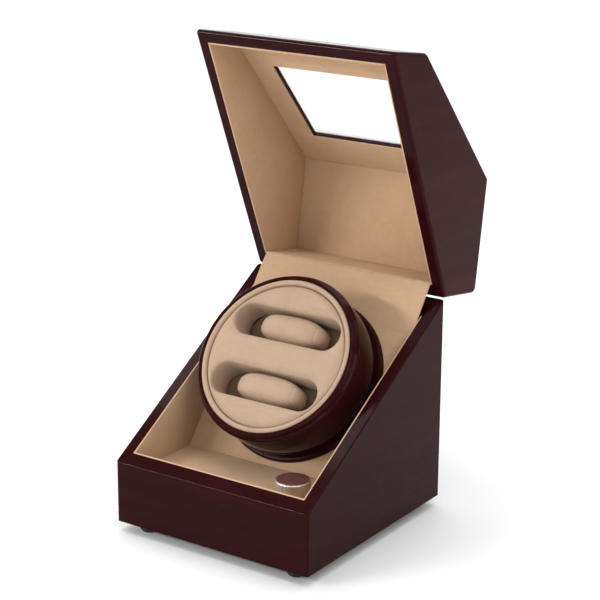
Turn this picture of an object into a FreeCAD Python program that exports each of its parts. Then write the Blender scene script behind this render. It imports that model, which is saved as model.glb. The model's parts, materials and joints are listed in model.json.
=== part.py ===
"""Watch winder box with a hinged, windowed hood and a motor-driven rotor for two watches.

Units are millimetres. The origin is on the table under the middle of the case; +X is the
owner's right, +Y the rear and +Z up. The hood is modelled shut and then swung open by OPEN_DEG.
"""

import FreeCAD
import Part
import math
import os

V = FreeCAD.Vector

# ---- driving dimensions ----------------------------------------------------------------------

WIDTH = 170.0             # outside width of case and hood
DEPTH = 180.0             # outside depth
FOOT = 8.0                # daylight under the case
REAR_H = 157.0            # case height at its rear edge
FRONT_H = 47.0            # case height at its front edge
HOOD_H = 205.0            # overall height, shut, above the case's underside
HOOD_TOP = 88.0           # depth of the hood's flat top
HOOD_LIP = 47.0           # height of the hood's front lip
BOARD = 9.0               # lacquered board
SUEDE = 1.3               # suede on card
RIM_GAP = 0.3             # daylight between the shut rims
EDGE_R = 2.5              # rounding of the lacquered edges
CASE_RIM_R = 1.0          # rounding of the case's sloping rim
BROW_R = 8.0              # rounding where the window panel meets the front lip
BACK_R = 5.0              # rounding where the hood's top meets its rear wall
OPEN_DEG = 99.0           # how far the hood swings back

SLOPE_DEG = 51.4          # tilt of the panel that carries the rotor
AXIS_Y = 28.6             # where the rotor axis meets the suede of that panel
AXIS_Z = 93.3 + FOOT
LEDGE_Z = 38.4 + FOOT     # suede surface of the front ledge
LEDGE_T = 6.0             # ledge board
SLOPE_TOP = 52.0          # panel length above the rotor axis

WINDOW_W = 106.0          # clear window opening
WINDOW_L = 82.5
WINDOW_FROM_BROW = 24.5   # along the window panel, from its lower corner
GLASS_T = 3.0
GLASS_SET = 3.4           # glass below the outer face
GLASS_LAP = 8.0           # overlap of glass and frame

DISC_R = 66.0             # fixed turntable base
DISC_T = 4.0
CUP_BASE = 5.2            # underside of the turned cup above the panel
CUP_BASE_R = 62.5
CUP_FLOOR_T = 6.0
CUP_R = 66.0              # bead of the cup
RIM_R = 62.6              # front edge of the cup
FACE_W = 48.7             # cushion face above the panel
MOUTH_R = 60.8            # where lacquer meets suede
CUSHION_R = 56.4
SLOT_L = 92.0             # watch slots
SLOT_W = 25.0
SLOT_OFF = 24.0
SLOT_FLOOR = 18.0
PILLOW_L = 58.0
PILLOW_W = 23.0
PILLOW_H = 30.0

SHAFT_R = 4.0
BUSH_R = 6.0
HOUSING_R = 13.0
RUNNING = 0.04            # radial clearance of running fits

GEAR_MODULE = 1.0
GEAR_TEETH = 48
PINION_TEETH = 16
BACKLASH = 0.16           # tooth thinning at the pitch circle, per gear
GEAR_T = 6.0
GEAR_BACK = -30.0         # rear face of the drive gear
MOTOR_R = 12.5

KNOB_X = 47.0
KNOB_Y = -53.0
KNOB_R = 13.1
KNOB_H = 13.0
INLAY_R = 11.6            # inlay in the top of the knob

HINGE_XS = (-50.0, 50.0)
HINGE_W = 26.0
BARREL_R = 2.2
PIN_R = 1.0
LEAF_T = 1.0
LEAF_L = 9.0

FOOT_X = 66.0
FOOT_Y = 76.0
FOOT_R = 7.0

COVER_LIP = 5.0           # wall left outside the bottom cover's rebate
COVER_Z = 1.5 + FOOT
COVER_T = 6.0

JACK_X = -50.0
JACK_Z = 30.0 + FOOT

# ---- values that follow ------------------------------------------------------------------------

HALF_W = WIDTH / 2
HALF_D = DEPTH / 2
IN_X = HALF_W - BOARD             # inner face of the side walls
LINED_X = IN_X - SUEDE
IN_Y = HALF_D - BOARD
RIM = math.atan2(REAR_H - FRONT_H, DEPTH)
SLOPE = math.radians(SLOPE_DEG)
HINGE_Y = HALF_D
HINGE_Z = FOOT + REAR_H + RIM_GAP / 2
CENTRES = GEAR_MODULE * (GEAR_TEETH + PINION_TEETH) / 2 + 0.1
BOARD_BACK = -SUEDE - BOARD       # rear face of the sloped panel, in its own frame

SAVED = []


def save(name, *solids):
    """Writes one node; several solids make a group of separate pieces."""
    shape = solids[0] if len(solids) == 1 else Part.makeCompound(list(solids))
    shape.exportStep("parts/" + name + ".step")
    SAVED.append((name, shape.Volume))


# ---- small geometry helpers --------------------------------------------------------------------

def prism(points, x_low, x_high):
    """Polygon of (y, z) points, extruded along X."""
    wire = Part.makePolygon([V(x_low, y, z) for y, z in points + points[:1]])
    return Part.Face(wire).extrude(V(x_high - x_low, 0, 0))


def block(low, high):
    size = V(*high) - V(*low)
    return Part.makeBox(size.x, size.y, size.z, V(*low))


def rod(radius, low, high, x=0.0, y=0.0):
    """Upright cylinder from height low to height high."""
    return Part.makeCylinder(radius, high - low, V(x, y, low))


def ring(outer, inner, low, high, x=0.0, y=0.0):
    return rod(outer, low, high, x, y).cut(rod(inner, low - 1, high + 1, x, y))


def turned(edges):
    """Closed outline of edges in the XZ plane, turned about Z."""
    face = Part.Face(Part.Wire(edges))
    return face.revolve(V(0, 0, 0), V(0, 0, 1), 360)


def corner(before, here, after):
    """Where two offset edges meet; each is (point, direction)."""
    (ay, az), (dy, dz) = before
    (by, bz), (ey, ez) = after
    cross = dy * ez - dz * ey
    if abs(cross) < 1e-9:
        return here
    t = ((by - ay) * ez - (bz - az) * ey) / cross
    return (ay + t * dy, az + t * dz)


def inset(points, depths):
    """Counter-clockwise (y, z) polygon with edge i moved inwards by depths[i]."""
    edges = []
    for i, (y, z) in enumerate(points):
        y2, z2 = points[(i + 1) % len(points)]
        length = math.hypot(y2 - y, z2 - z)
        dy, dz = (y2 - y) / length, (z2 - z) / length
        edges.append(((y - dz * depths[i], z + dy * depths[i]), (dy, dz)))
    return [corner(edges[i - 1], points[i], edges[i]) for i in range(len(points))]


def edges_where(shape, test):
    """Edges whose two end points both pass the test."""
    found = []
    for edge in shape.Edges:
        ends = [v.Point for v in edge.Vertexes]
        if len(ends) == 2 and test(*ends):
            found.append(edge)
    return found


def on_slope(shape):
    """From the rotor's own frame (Z along its axis, zero on the panel's suede) to the case's."""
    placed = shape.copy()
    placed.rotate(V(0, 0, 0), V(1, 0, 0), SLOPE_DEG)
    placed.translate(V(0, AXIS_Y, AXIS_Z))
    return placed


def slope_point(along, above):
    """(y, z) of a point on the sloped panel: along it from the rotor axis, above its suede."""
    y = AXIS_Y + along * math.cos(SLOPE) - above * math.sin(SLOPE)
    z = AXIS_Z + along * math.sin(SLOPE) + above * math.cos(SLOPE)
    return (y, z)


def slope_at_height(z, above):
    along = (z - AXIS_Z - above * math.cos(SLOPE)) / math.sin(SLOPE)
    return slope_point(along, above)


def rim_z(y, above=0.0):
    """Height of the case's sloping rim plane at depth y, moved off along its normal."""
    return FOOT + FRONT_H + (y + HALF_D) * math.tan(RIM) + above / math.cos(RIM)


def swung(shape):
    """The hood's parts, turned from shut to open."""
    placed = shape.copy()
    placed.rotate(V(0, HINGE_Y, HINGE_Z), V(1, 0, 0), -OPEN_DEG)
    return placed


def screw_hole(head_r, head_t, shank_r, length):
    """The room a countersunk screw takes, pointing down -Z, its head's face at zero."""
    head = Part.makeCone(shank_r, head_r, head_t, V(0, 0, -head_t))
    return head.fuse(rod(shank_r, -length, -head_t)).removeSplitter()


def screw(head_r, head_t, shank_r, length):
    """Countersunk screw with a cross recess."""
    socket = block((-head_r * 0.6, -0.25, -0.4), (head_r * 0.6, 0.25, 1))
    cross = block((-0.25, -head_r * 0.6, -0.4), (0.25, head_r * 0.6, 1))
    return screw_hole(head_r, head_t, shank_r, length).cut(socket).cut(cross)


def pan_screw(head_r, head_t, shank_r, length):
    """Pan-head screw pointing down -Z, the underside of its head at zero."""
    head = rod(head_r, 0, head_t)
    head = head.makeFillet(head_t * 0.4, edges_where_round(head, head_t))
    slot = block((-head_r * 0.7, -0.3, head_t * 0.5), (head_r * 0.7, 0.3, head_t + 1))
    cross = block((-0.3, -head_r * 0.7, head_t * 0.5), (0.3, head_r * 0.7, head_t + 1))
    return head.cut(slot).cut(cross).fuse(rod(shank_r, -length, 0)).removeSplitter()


def edges_where_round(shape, height):
    """Circular edges at one height."""
    found = []
    for edge in shape.Edges:
        if edge.Closed and abs(edge.BoundBox.ZMin - height) < 1e-6:
            if abs(edge.BoundBox.ZMax - height) < 1e-6:
                found.append(edge)
    return found


def aimed(shape, place, direction):
    """A piece made along +Z, turned to a direction and moved to a place."""
    turn = FreeCAD.Rotation(V(0, 0, 1), V(*direction))
    placed = shape.copy()
    placed.Placement = FreeCAD.Placement(V(*place), turn)
    return placed


# ---- case ----------------------------------------------------------------------------------------

CASE = [
    (-HALF_D, FOOT), (HALF_D, FOOT), (HALF_D, FOOT + REAR_H), (-HALF_D, FOOT + FRONT_H),
]


def case_shell():
    """The lacquered box before it is parted into boards: bottom rebated, top cut on the slope."""
    body = prism(CASE, -HALF_W, HALF_W)
    upright = edges_where(body, lambda a, b: abs(a.x - b.x) < 0.1 and abs(a.y - b.y) < 0.1)
    body = body.makeFillet(EDGE_R, upright)
    rim_face = max(body.Faces, key=lambda f: f.CenterOfMass.z)
    body = body.makeFillet(CASE_RIM_R, rim_face.Edges)
    inner = block((-IN_X, -IN_Y, FOOT - 1), (IN_X, IN_Y, FOOT + REAR_H + 20))
    lip_x, lip_y = HALF_W - COVER_LIP, HALF_D - COVER_LIP
    rebate = block((-lip_x, -lip_y, FOOT - 1), (lip_x, lip_y, COVER_Z + COVER_T))
    return body.cut(inner).cut(rebate)


def hinge_cutters():
    """Room for the barrel and the leaf of each hinge, for the case half; the hood's mirrors it."""
    tools = []
    for x in HINGE_XS:
        barrel = Part.makeCylinder(BARREL_R + 0.3, HINGE_W + 0.8,
                                   V(x - HINGE_W / 2 - 0.4, HINGE_Y, HINGE_Z), V(1, 0, 0))
        tools.append(barrel)
    return tools


def leaf_plate(x, side, start):
    """Leaf of a hinge lying on the rim: side -1 for the case, +1 for the hood."""
    low, high = sorted((side * RIM_GAP / 2, side * (RIM_GAP / 2 + LEAF_T)))
    plate = block((x - HINGE_W / 2, -LEAF_L, low), (x + HINGE_W / 2, -start, high))
    plate.rotate(V(0, 0, 0), V(1, 0, 0), math.degrees(RIM))
    plate.translate(V(0, HINGE_Y, HINGE_Z))
    return plate


def hinge_leaf(x, side):
    """Leaf with its knuckles; the case's has the two outer ones, the hood's the middle one."""
    third = HINGE_W / 4
    spans = [(-third + 0.15, third - 0.15)] if side > 0 else [
        (-HINGE_W / 2, -third - 0.15), (third + 0.15, HINGE_W / 2)]
    leaf = leaf_plate(x, side, BARREL_R + 0.4)
    bore = PIN_R + (RUNNING if side > 0 else 0.0)
    for low, high in spans:
        start = V(x + low, HINGE_Y, HINGE_Z)
        knuckle = Part.makeCylinder(BARREL_R, high - low, start, V(1, 0, 0))
        neck = leaf_plate(x, side, 0.0).common(
            block((x + low, -500, -500), (x + high, 500, 500)))
        leaf = leaf.fuse(knuckle).fuse(neck)
    hole = Part.makeCylinder(bore, HINGE_W + 2, V(x - HINGE_W / 2 - 1, HINGE_Y, HINGE_Z),
                             V(1, 0, 0))
    return leaf.cut(hole)


def hinge_screw_places(side):
    """Where the small screws stand on the rim, and which way their heads face."""
    inward = (-math.cos(RIM), -math.sin(RIM))
    up = (-math.sin(RIM), math.cos(RIM))
    level = side * RIM_GAP / 2
    reach = LEAF_L * 0.68
    y = HINGE_Y + inward[0] * reach + up[0] * level
    z = HINGE_Z + inward[1] * reach + up[1] * level
    facing = (0, -side * up[0], -side * up[1])
    places = [(x + dx, y, z) for x in HINGE_XS for dx in (-HINGE_W / 3, HINGE_W / 3)]
    return places, facing


def hinge_screws(side, make=screw):
    places, facing = hinge_screw_places(side)
    one = make(1.7, 0.9, 0.9, 4.6)
    return [aimed(one, place, facing) for place in places]


def cover_screws(make=screw):
    one = make(2.0, 1.2, 1.1, 14)
    return [aimed(one, (side * (IN_X + 1.4), y, COVER_Z), (0, 0, -1))
            for side in (-1, 1) for y in (-55, 0, 55)]


def foot_places():
    return {
        "foot_front_left": (-FOOT_X, -FOOT_Y), "foot_front_right": (FOOT_X, -FOOT_Y),
        "foot_rear_left": (-FOOT_X, FOOT_Y), "foot_rear_right": (FOOT_X, FOOT_Y),
    }


def make_case_walls():
    shell = case_shell()
    for tool in hinge_cutters() + [leaf_plate(x, -1, 0.0) for x in HINGE_XS]:
        shell = shell.cut(tool)
    for hole in hinge_screws(-1, screw_hole) + cover_screws(screw_hole):
        shell = shell.cut(hole)
    shell = shell.cut(Part.makeCylinder(6.0, BOARD + 2, V(JACK_X, IN_Y - 1, JACK_Z), V(0, 1, 0)))
    high = FOOT + REAR_H + 20
    left = shell.common(block((-HALF_W - 1, -HALF_D - 1, 0), (-IN_X, HALF_D + 1, high)))
    right = shell.common(block((IN_X, -HALF_D - 1, 0), (HALF_W + 1, HALF_D + 1, high)))
    front = shell.common(block((-IN_X, -HALF_D - 1, 0), (IN_X, 0, high)))
    rear = shell.common(block((-IN_X, 0, 0), (IN_X, HALF_D + 9, high)))
    save("left_wall", left)
    save("right_wall", right)
    save("front_wall", front)
    save("rear_wall", rear)


def make_bottom():
    x, y = HALF_W - COVER_LIP - 0.2, HALF_D - COVER_LIP - 0.2
    cover = block((-x, -y, COVER_Z), (x, y, COVER_Z + COVER_T))
    for hole in cover_screws(screw_hole):
        cover = cover.cut(hole)
    foot_screw = pan_screw(2.9, 1.6, 1.4, 8.5)
    seat = COVER_Z - 3.0
    feet_screws = []
    for name, (px, py) in foot_places().items():
        rubber = make_foot().cut(rod(3.2, -1, seat)).cut(rod(1.4, 0, COVER_Z + 1))
        rubber.translate(V(px, py, 0))
        save(name, rubber)
        feet_screws.append(aimed(foot_screw, (px, py, seat), (0, 0, -1)))
        cover = cover.cut(feet_screws[-1])
    save("bottom_cover", cover)
    save("base_screws", *cover_screws(), *feet_screws)


def make_foot():
    """Domed rubber button: a flat ring on the table, bulging to its full radius."""
    tip, waist = FOOT_R * 0.68, FOOT * 0.62
    dome = Part.Arc(V(tip, 0, 0), V(FOOT_R * 0.92, 0, waist * 0.38), V(FOOT_R, 0, waist))
    straight = [V(FOOT_R, 0, waist), V(FOOT_R, 0, COVER_Z), V(0, 0, COVER_Z), V(0, 0, 0),
                V(tip, 0, 0)]
    lines = [Part.LineSegment(a, b).toShape() for a, b in zip(straight, straight[1:])]
    return turned([dome.toShape()] + lines)


def make_boards():
    """Front ledge and the sloped panel that carries the rotor, with their holes."""
    top, under = LEDGE_Z - SUEDE, LEDGE_Z - SUEDE - LEDGE_T
    ledge = prism([(-IN_Y, under), slope_at_height(under, -SUEDE),
                   slope_at_height(top, -SUEDE), (-IN_Y, top)], -IN_X, IN_X)
    ledge = ledge.cut(rod(3.8, under - 1, top + 1, KNOB_X, KNOB_Y))
    save("ledge_board", ledge)
    slope = prism([slope_at_height(under, BOARD_BACK), slope_point(SLOPE_TOP, BOARD_BACK),
                   slope_point(SLOPE_TOP, -SUEDE), slope_at_height(under, -SUEDE)],
                  -IN_X, IN_X)
    slope = slope.cut(on_slope(rod(HOUSING_R, BOARD_BACK - 1, 1)))
    for x, y in disc_screw_places():
        slope = slope.cut(on_slope(rod(1.5, BOARD_BACK - 1, 1, x, y)))
    for x, y in housing_screw_places():
        slope = slope.cut(on_slope(rod(1.3, BOARD_BACK - 1, BOARD_BACK + 6, x, y)))
    for x, y in bracket_screw_places():
        slope = slope.cut(on_slope(rod(1.3, BOARD_BACK - 1, BOARD_BACK + 6, x, y)))
    save("slope_board", slope)


def make_case_linings():
    top = LEDGE_Z - SUEDE
    rim_front = (-IN_Y, rim_z(-IN_Y))
    crossing = rim_on_slope(-SUEDE)
    side = [(-IN_Y, top), slope_at_height(top, -SUEDE), crossing, rim_front]
    left = prism(side, -IN_X, -LINED_X)
    right = prism(side, LINED_X, IN_X)
    y = -IN_Y + SUEDE
    front = prism([(-IN_Y, top), (y, top), (y, rim_z(y)), rim_front], -LINED_X, LINED_X)
    save("wall_lining", left.fuse(front).fuse(right).removeSplitter())
    ledge = prism([(y, top), slope_at_height(top, -SUEDE), slope_at_height(LEDGE_Z, -SUEDE),
                   (y, LEDGE_Z)], -LINED_X, LINED_X)
    save("ledge_lining", ledge.cut(rod(4.2, top - 1, LEDGE_Z + 1, KNOB_X, KNOB_Y)))
    crease = slope_at_height(LEDGE_Z, -SUEDE)
    slope = prism([crease, slope_point(SLOPE_TOP, -SUEDE), slope_point(SLOPE_TOP, 0),
                   slope_at_height(LEDGE_Z, 0)], -LINED_X, LINED_X)
    slope = slope.cut(on_slope(rod(HOUSING_R + 0.5, -5, 5)))
    for px, py in disc_screw_places():
        slope = slope.cut(on_slope(rod(1.5, -5, 5, px, py)))
    save("slope_lining", slope)
    start, end = slope_point(SLOPE_TOP, 0), (HALF_D - 12.5, rim_z(HALF_D - 12.5) + 1.0)
    flap = prism([slope_point(SLOPE_TOP, -SUEDE), (end[0], end[1] - SUEDE * 1.4), end, start],
                 -LINED_X + 0.4, LINED_X - 0.4)
    save("hinge_flap", flap)


def rim_on_slope(above):
    """Where a line parallel to the sloped panel crosses the case's rim plane."""
    y0, z0 = slope_point(0, above)
    y = (z0 - rim_z(0) - y0 * math.tan(SLOPE)) / (math.tan(RIM) - math.tan(SLOPE))
    return (y, rim_z(y))


# ---- turntable base, bearing and drive, all in the rotor's own frame ------------------------------

def disc_screw_places():
    return [(40 * math.cos(math.radians(a)), 40 * math.sin(math.radians(a)))
            for a in (0, 90, 180, 270)]


def housing_screw_places():
    return [(18 * math.cos(math.radians(a)), 18 * math.sin(math.radians(a)))
            for a in (45, 135, 225, 315)]


def bracket_screw_places():
    return [(side * 37.5, -CENTRES + dy) for side in (-1, 1) for dy in (-11, 11)]


def make_disc():
    edge = DISC_T * 0.45
    disc = rod(DISC_R, 0, DISC_T)
    disc = disc.makeFillet(edge, edges_where_round(disc, DISC_T))
    disc = disc.cut(rod(HOUSING_R + 3, -1, DISC_T + 1))
    screws = []
    one = pan_screw(3.0, 1.8, 1.5, BOARD + SUEDE + DISC_T * 0.6)
    for x, y in disc_screw_places():
        screws.append(aimed(one, (x, y, BOARD_BACK), (0, 0, -1)))
        disc = disc.cut(rod(1.5, -1, DISC_T * 0.6, x, y))
    save("base_disc", on_slope(disc))
    save("disc_screws", *[on_slope(s) for s in screws])


def make_bearing():
    back = BOARD_BACK - 12
    housing = rod(HOUSING_R, back, -1).fuse(rod(23, BOARD_BACK - 3.5, BOARD_BACK))
    housing = housing.removeSplitter().cut(rod(BUSH_R, back - 1, 1))
    one = pan_screw(2.6, 1.6, 1.3, 9)
    screws = []
    for x, y in housing_screw_places():
        screws.append(aimed(one, (x, y, BOARD_BACK - 3.5), (0, 0, -1)))
        housing = housing.cut(rod(1.3, BOARD_BACK - 5, BOARD_BACK + 1, x, y))
    save("bearing_housing", on_slope(housing))
    save("housing_screws", *[on_slope(s) for s in screws])
    front = rod(BUSH_R, -9, -1).fuse(rod(BUSH_R + 2, -1, 0))
    rear = rod(BUSH_R, back, back + 8).fuse(rod(BUSH_R + 2, back - 1, back))
    bore = rod(SHAFT_R + RUNNING, back - 5, 5)
    save("shaft_bushes", *[on_slope(b.removeSplitter().cut(bore)) for b in (front, rear)])


def involute(angle):
    return math.tan(angle) - angle


def gear(teeth, low, high, addendum, first_tooth_deg):
    """Spur gear with involute flanks; first_tooth_deg is the direction of one tooth's middle."""
    pressure = math.radians(20)
    pitch = GEAR_MODULE * teeth / 2
    base = pitch * math.cos(pressure)
    tip, root = pitch + addendum, pitch - 1.2 * GEAR_MODULE
    half = math.pi / (2 * teeth) - BACKLASH / (2 * pitch)

    def half_angle(radius):
        if radius <= base:
            return half + involute(pressure)
        return half + involute(pressure) - involute(math.acos(base / radius))

    def at(radius, angle):
        return V(radius * math.cos(angle), radius * math.sin(angle), low)

    start = max(base, root)
    radii = [root] + [start + (tip - start) * k / 4 for k in range(5)]
    if start == root:
        radii = radii[1:]
    edges = []
    for n in range(teeth):
        middle = math.radians(first_tooth_deg) + 2 * math.pi * n / teeth
        rising = [at(r, middle - half_angle(r)) for r in radii]
        falling = [at(r, middle + half_angle(r)) for r in reversed(radii)]
        path = rising + falling
        edges += [Part.LineSegment(a, b).toShape() for a, b in zip(path, path[1:])]
        gap_middle = middle + math.pi / teeth
        after = at(root, middle + 2 * math.pi / teeth - half_angle(root))
        edges.append(Part.Arc(path[-1], at(root, gap_middle), after).toShape())
    return Part.Face(Part.Wire(edges)).extrude(V(0, 0, high - low))


def make_drive():
    wheel = gear(GEAR_TEETH, GEAR_BACK, GEAR_BACK + GEAR_T, 0.8, -90)
    for k in range(5):
        angle = math.radians(90 + 72 * k)
        wheel = wheel.cut(rod(4.5, GEAR_BACK - 1, GEAR_BACK + GEAR_T + 1,
                              14.5 * math.cos(angle), 14.5 * math.sin(angle)))
    boss_top = BOARD_BACK - 12 - 1 - 0.2
    wheel = wheel.fuse(rod(8, GEAR_BACK, boss_top)).removeSplitter()
    save("drive_gear", on_slope(wheel.cut(rod(SHAFT_R, GEAR_BACK - 1, boss_top + 1))))
    shaft = rod(SHAFT_R, GEAR_BACK - 2, CUP_BASE + CUP_FLOOR_T + 3)
    ends = edges_where_round(shaft, GEAR_BACK - 2)
    save("rotor_shaft", on_slope(shaft.makeChamfer(0.6, ends)))

    half_tooth = 180.0 / PINION_TEETH
    teeth = gear(PINION_TEETH, GEAR_BACK - 0.5, GEAR_BACK + GEAR_T + 0.5, 0.8, 90 + half_tooth)
    pinion = teeth.fuse(rod(2.5, -40.0, GEAR_BACK + GEAR_T + 1.5)).removeSplitter()
    pinion.translate(V(0, -CENTRES, 0))
    save("pinion_shaft", on_slope(pinion))


def make_motor():
    plate_back, plate_t, half_x, half_y = -36.5, 2.0, 31.0, 17.0
    plate = block((-half_x, -half_y, plate_back), (half_x, half_y, plate_back + plate_t))
    bracket = plate
    for side in (-1, 1):
        x1, x2 = sorted((side * half_x, side * (half_x - 2)))
        leg = block((x1, -half_y, plate_back), (x2, half_y, BOARD_BACK))
        f1, f2 = sorted((side * (half_x - 2), side * (half_x + 12)))
        foot = block((f1, -half_y, BOARD_BACK - 2), (f2, half_y, BOARD_BACK))
        bracket = bracket.fuse(leg).fuse(foot)
    bracket = bracket.removeSplitter().cut(rod(4.0, -50, 0))
    for dx in (-8.5, 8.5):
        bracket = bracket.cut(rod(1.25, -50, -30, dx, 0))
    screws, one = [], pan_screw(2.6, 1.6, 1.3, 7)
    for x, y in bracket_screw_places():
        screws.append(aimed(one, (x, y, BOARD_BACK - 2), (0, 0, -1)))
        bracket = bracket.cut(rod(1.3, BOARD_BACK - 3, BOARD_BACK + 1, x, y + CENTRES))
    motor_screw = pan_screw(2.2, 1.2, 1.25, 5)
    for dx in (-8.5, 8.5):
        screws.append(aimed(motor_screw, (dx, -CENTRES, plate_back + plate_t), (0, 0, 1)))
    bracket.translate(V(0, -CENTRES, 0))
    save("motor_bracket", on_slope(bracket))
    save("bracket_screws", *[on_slope(s) for s in screws])
    box_low = plate_back - 15
    gearbox = rod(MOTOR_R, box_low, plate_back).fuse(rod(3.9, plate_back, plate_back + plate_t))
    gearbox = gearbox.removeSplitter().cut(rod(2.5 + RUNNING, -41, 0))
    for dx in (-8.5, 8.5):
        gearbox = gearbox.cut(rod(1.25, plate_back - 3, plate_back + 1, dx, 0))
    can_low = box_low - 18
    can = rod(MOTOR_R - 0.5, can_low, box_low)
    can = can.makeFillet(1.5, edges_where_round(can, can_low))
    can = can.fuse(rod(4.5, can_low - 1.5, can_low))
    for side in (-1, 1):
        x1, x2 = sorted((side * 7.0, side * 7.6))
        can = can.fuse(block((x1, -1.2, can_low - 3.5), (x2, 1.2, can_low)))
    for name, piece in (("motor_gearbox", gearbox), ("motor_can", can.removeSplitter())):
        piece.translate(V(0, -CENTRES, 0))
        save(name, on_slope(piece))


# ---- rotor -----------------------------------------------------------------------------------------

def make_cup():
    """Turned, lacquered drum: rolled front lip, bead, slightly tapering side, hollow inside."""
    lip, step, bead_top, bead_low = FACE_W - 1.5, FACE_W - 3.6, FACE_W - 4.4, FACE_W - 8.0
    bead_mid = (bead_top + bead_low) / 2
    floor = CUP_BASE + CUP_FLOOR_T

    def line(a, b):
        return Part.LineSegment(V(a[0], 0, a[1]), V(b[0], 0, b[1])).toShape()

    def arc(a, b, c):
        return Part.Arc(V(a[0], 0, a[1]), V(b[0], 0, b[1]), V(c[0], 0, c[1])).toShape()

    mouth = (MOUTH_R, FACE_W - 0.2)
    edges = [
        line((0, CUP_BASE), (CUP_BASE_R - 1.2, CUP_BASE)),
        arc((CUP_BASE_R - 1.2, CUP_BASE), (CUP_BASE_R - 0.35, CUP_BASE + 0.35),
            (CUP_BASE_R, CUP_BASE + 1.2)),
        arc((CUP_BASE_R, CUP_BASE + 1.2), (CUP_R - 1.3, bead_low * 0.55),
            (CUP_R - 1.2, bead_low)),
        arc((CUP_R - 1.2, bead_low), (CUP_R, bead_mid), (CUP_R - 0.9, bead_top)),
        line((CUP_R - 0.9, bead_top), (RIM_R + 1.6, step)),
        arc((RIM_R + 1.6, step), (RIM_R + 1.2, lip + 0.5), (RIM_R, FACE_W)),
        line((RIM_R, FACE_W), mouth),
        line(mouth, (MOUTH_R, floor)),
        line((MOUTH_R, floor), (0, floor)),
        line((0, floor), (0, CUP_BASE)),
    ]
    cup = turned(edges).cut(rod(10, CUP_BASE - 1, floor + 1))
    for x, y in hub_screw_places():
        cup = cup.cut(rod(1.5, CUP_BASE - 1, floor + 1, x, y))
    save("rotor_cup", on_slope(cup))


def hub_screw_places():
    return [(15 * math.cos(math.radians(a)), 15 * math.sin(math.radians(a)))
            for a in (90, 210, 330)]


def make_hub():
    floor = CUP_BASE + CUP_FLOOR_T
    hub = rod(10, 0.15, floor).fuse(rod(19, floor, floor + 3)).removeSplitter()
    hub = hub.cut(rod(SHAFT_R, -1, floor + 5))
    screws, one = [], pan_screw(2.6, 1.5, 1.5, 7)
    for x, y in hub_screw_places():
        screws.append(aimed(one, (x, y, floor + 3), (0, 0, 1)))
        hub = hub.cut(rod(1.5, -1, floor + 5, x, y))
    save("rotor_hub", on_slope(hub))
    save("hub_screws", *[on_slope(s) for s in screws])


def slot_solid(length, width, low, high, y):
    """Upright slot with round ends, its long axis along X."""
    reach, r = length / 2 - width / 2, width / 2
    middle = block((-reach, y - r, low), (reach, y + r, high))
    return middle.fuse(rod(r, low, high, -reach, y)).fuse(rod(r, low, high, reach, y))


def make_cushion():
    floor = CUP_BASE + CUP_FLOOR_T
    save("cushion_backing", on_slope(rod(CUSHION_R, floor + 5, SLOT_FLOOR)))
    cushion = rod(CUSHION_R, SLOT_FLOOR, FACE_W)
    cushion = cushion.makeFillet(2.0, edges_where_round(cushion, FACE_W))
    for side in (-1, 1):
        cushion = cushion.cut(slot_solid(SLOT_L, SLOT_W, SLOT_FLOOR - 5, FACE_W + 5,
                                         side * SLOT_OFF))
    save("slotted_cushion", on_slope(cushion.removeSplitter()))
    collar = ring(MOUTH_R, CUSHION_R + 0.1, FACE_W - 12, FACE_W)
    collar = collar.makeFillet(1.2, edges_where_round(collar, FACE_W))
    save("cushion_ring", on_slope(collar))


def make_pillows():
    """Padded watch holders: a stadium block with crowned ends, resting on the slot's floor."""
    for name, side in (("upper_pillow", 1), ("lower_pillow", -1)):
        y = side * SLOT_OFF
        low = SLOT_FLOOR + 0.3
        flat = block((-PILLOW_L / 2, y - PILLOW_W / 2, low),
                     (PILLOW_L / 2, y + PILLOW_W / 2, low + PILLOW_H))
        ends = edges_where(flat, lambda a, b: abs(a.x - b.x) < 0.1 and abs(a.z - b.z) < 0.1)
        pillow = flat.makeFillet(9.0, ends)
        save(name, on_slope(pillow))


# ---- controls --------------------------------------------------------------------------------------

def make_controls():
    base = LEDGE_Z + 0.5
    top = base + KNOB_H
    knob = rod(KNOB_R, base, top, KNOB_X, KNOB_Y)
    knob = knob.makeFillet(0.8, edges_where_round(knob, top))
    knob = knob.cut(rod(INLAY_R, top - 0.8, top + 1, KNOB_X, KNOB_Y))
    shaft_top = base + KNOB_H * 0.7
    knob = knob.cut(rod(3.0, base - 1, shaft_top, KNOB_X, KNOB_Y))
    save("knob_body", knob)
    cap = rod(INLAY_R, top - 0.8, top + 0.2, KNOB_X, KNOB_Y)
    mark = block((KNOB_X - 0.5, KNOB_Y + 3, top), (KNOB_X + 0.5, KNOB_Y + 8.2, top + 1))
    save("knob_cap", cap.cut(mark))
    board_under = LEDGE_Z - SUEDE - LEDGE_T
    body_low = board_under - 10
    save("selector_shaft", rod(3.0, body_low + 3, shaft_top, KNOB_X, KNOB_Y))
    body = block((KNOB_X - 8, KNOB_Y - 8, body_low), (KNOB_X + 8, KNOB_Y + 8, board_under))
    body = body.fuse(rod(3.8, board_under, LEDGE_Z - SUEDE, KNOB_X, KNOB_Y)).removeSplitter()
    body = body.cut(rod(3.0 + RUNNING, body_low + 3 - RUNNING, LEDGE_Z, KNOB_X, KNOB_Y))
    save("selector_switch", body)
    pcb = block((KNOB_X - 50, KNOB_Y - 20, body_low - 1.6), (KNOB_X + 22, KNOB_Y + 20, body_low))
    chips = [(-38, -8, 14, 10, 2.2), (-20, 4, 7, 7, 1.6), (-38, 8, 8, 8, 7.0),
             (-22, -12, 5, 5, 6.0), (12, 6, 8, 9, 5.0)]
    for dx, dy, lx, ly, h in chips:
        pcb = pcb.fuse(block((KNOB_X + dx, KNOB_Y + dy, body_low),
                             (KNOB_X + dx + lx, KNOB_Y + dy + ly, body_low + h)))
    save("circuit_board", pcb.removeSplitter())


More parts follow.
